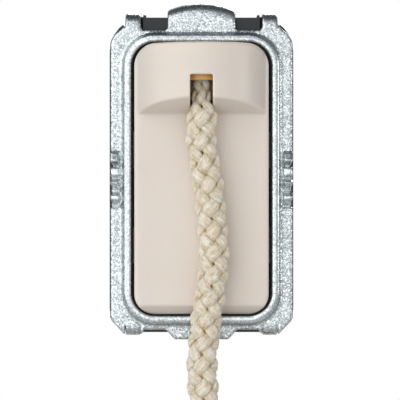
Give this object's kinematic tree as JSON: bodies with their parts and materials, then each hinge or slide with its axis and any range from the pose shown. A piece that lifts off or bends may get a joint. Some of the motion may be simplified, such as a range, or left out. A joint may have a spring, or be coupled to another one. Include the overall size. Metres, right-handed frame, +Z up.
{
  "type": "pull cord switch",
  "caption": "Modular wall switch worked by a hanging braided cord: zinc yoke, ivory hooded cover, black rear case, lever and contact mechanism, cord tied in a hank with a bell-shaped pull.",
  "frame": {"origin": "middle of the yoke's window on the back of its plate, where the module seats on a wall support", "axes": "+Z up along the cord, +X to the right seen from the room, +Y back into the wall"},
  "size_m": [0.0336, 0.0327, 0.1885],
  "materials": {
    "zinc_steel": "galvanised, fine spangle",
    "ivory_plastic": "moulded, satin",
    "black_plastic": "moulded, satin",
    "grey_plastic": "moulded",
    "amber_plastic": "moulded, amber",
    "bright_steel": "bright drawn or plated steel",
    "brass": "stamped",
    "contact_silver": "silver alloy",
    "cord_fibre": "round braid, cream",
    "tie_tape": "paper tape"
  },
  "bodies": {
    "housing": {"yoke": "zinc_steel", "front_cover": "ivory_plastic", "rear_case": "black_plastic", "inner_frame": "grey_plastic", "lever_pin": "bright_steel", "return_spring": "bright_steel", "fixed_tip_left": "contact_silver", "fixed_tip_right": "contact_silver", "fixed_contact_left": "brass", "fixed_contact_right": "brass", "terminal_cage_left": "brass", "terminal_cage_right": "brass"},
    "cord": {"cord_stop": "brass", "cord_neck": "cord_fibre", "cord_drop": "cord_fibre", "cord_hank": "cord_fibre", "hank_tie": "tie_tape", "cord_tail": "cord_fibre", "pull_knob": "ivory_plastic", "knob_knot": "cord_fibre"},
    "lever": {"pull_lever": "amber_plastic"},
    "plunger_unit": {"plunger": "ivory_plastic", "contact_bridge": "brass", "contact_spring": "bright_steel", "moving_tip_left": "contact_silver", "moving_tip_right": "contact_silver"},
    "screw_left": {"terminal_screw_left": "bright_steel"},
    "screw_right": {"terminal_screw_right": "bright_steel"}
  },
  "joints": [
    {"name": "cord_pull", "type": "slide", "parent": "housing", "child": "cord", "axis": [0, 0, -1], "range_m": [0, 0.0016], "stiffness_N_per_m": 1500, "springref_m": -0.003},
    {"name": "lever_tilt", "type": "hinge", "parent": "housing", "child": "lever", "pos_m": [0, 0.014, 0.0127], "axis": [1, 0, 0], "range_deg": [0, 4.86]},
    {"name": "plunger_press", "type": "slide", "parent": "housing", "child": "plunger_unit", "axis": [0, 0, -1], "range_m": [0, 0.00089], "deforming": ["return_spring"]},
    {"name": "screw_left_drive", "type": "slide", "parent": "housing", "child": "screw_left", "axis": [0, -1, 0], "range_m": [0, 0.0018]},
    {"name": "screw_right_drive", "type": "slide", "parent": "housing", "child": "screw_right", "axis": [0, -1, 0], "range_m": [0, 0.0018]}
  ],
  "couplings": [
    {"joint": "lever_tilt", "follows": "cord_pull", "rad_per_m": 52.91},
    {"joint": "plunger_press", "follows": "cord_pull", "ratio": 0.55027}
  ]
}
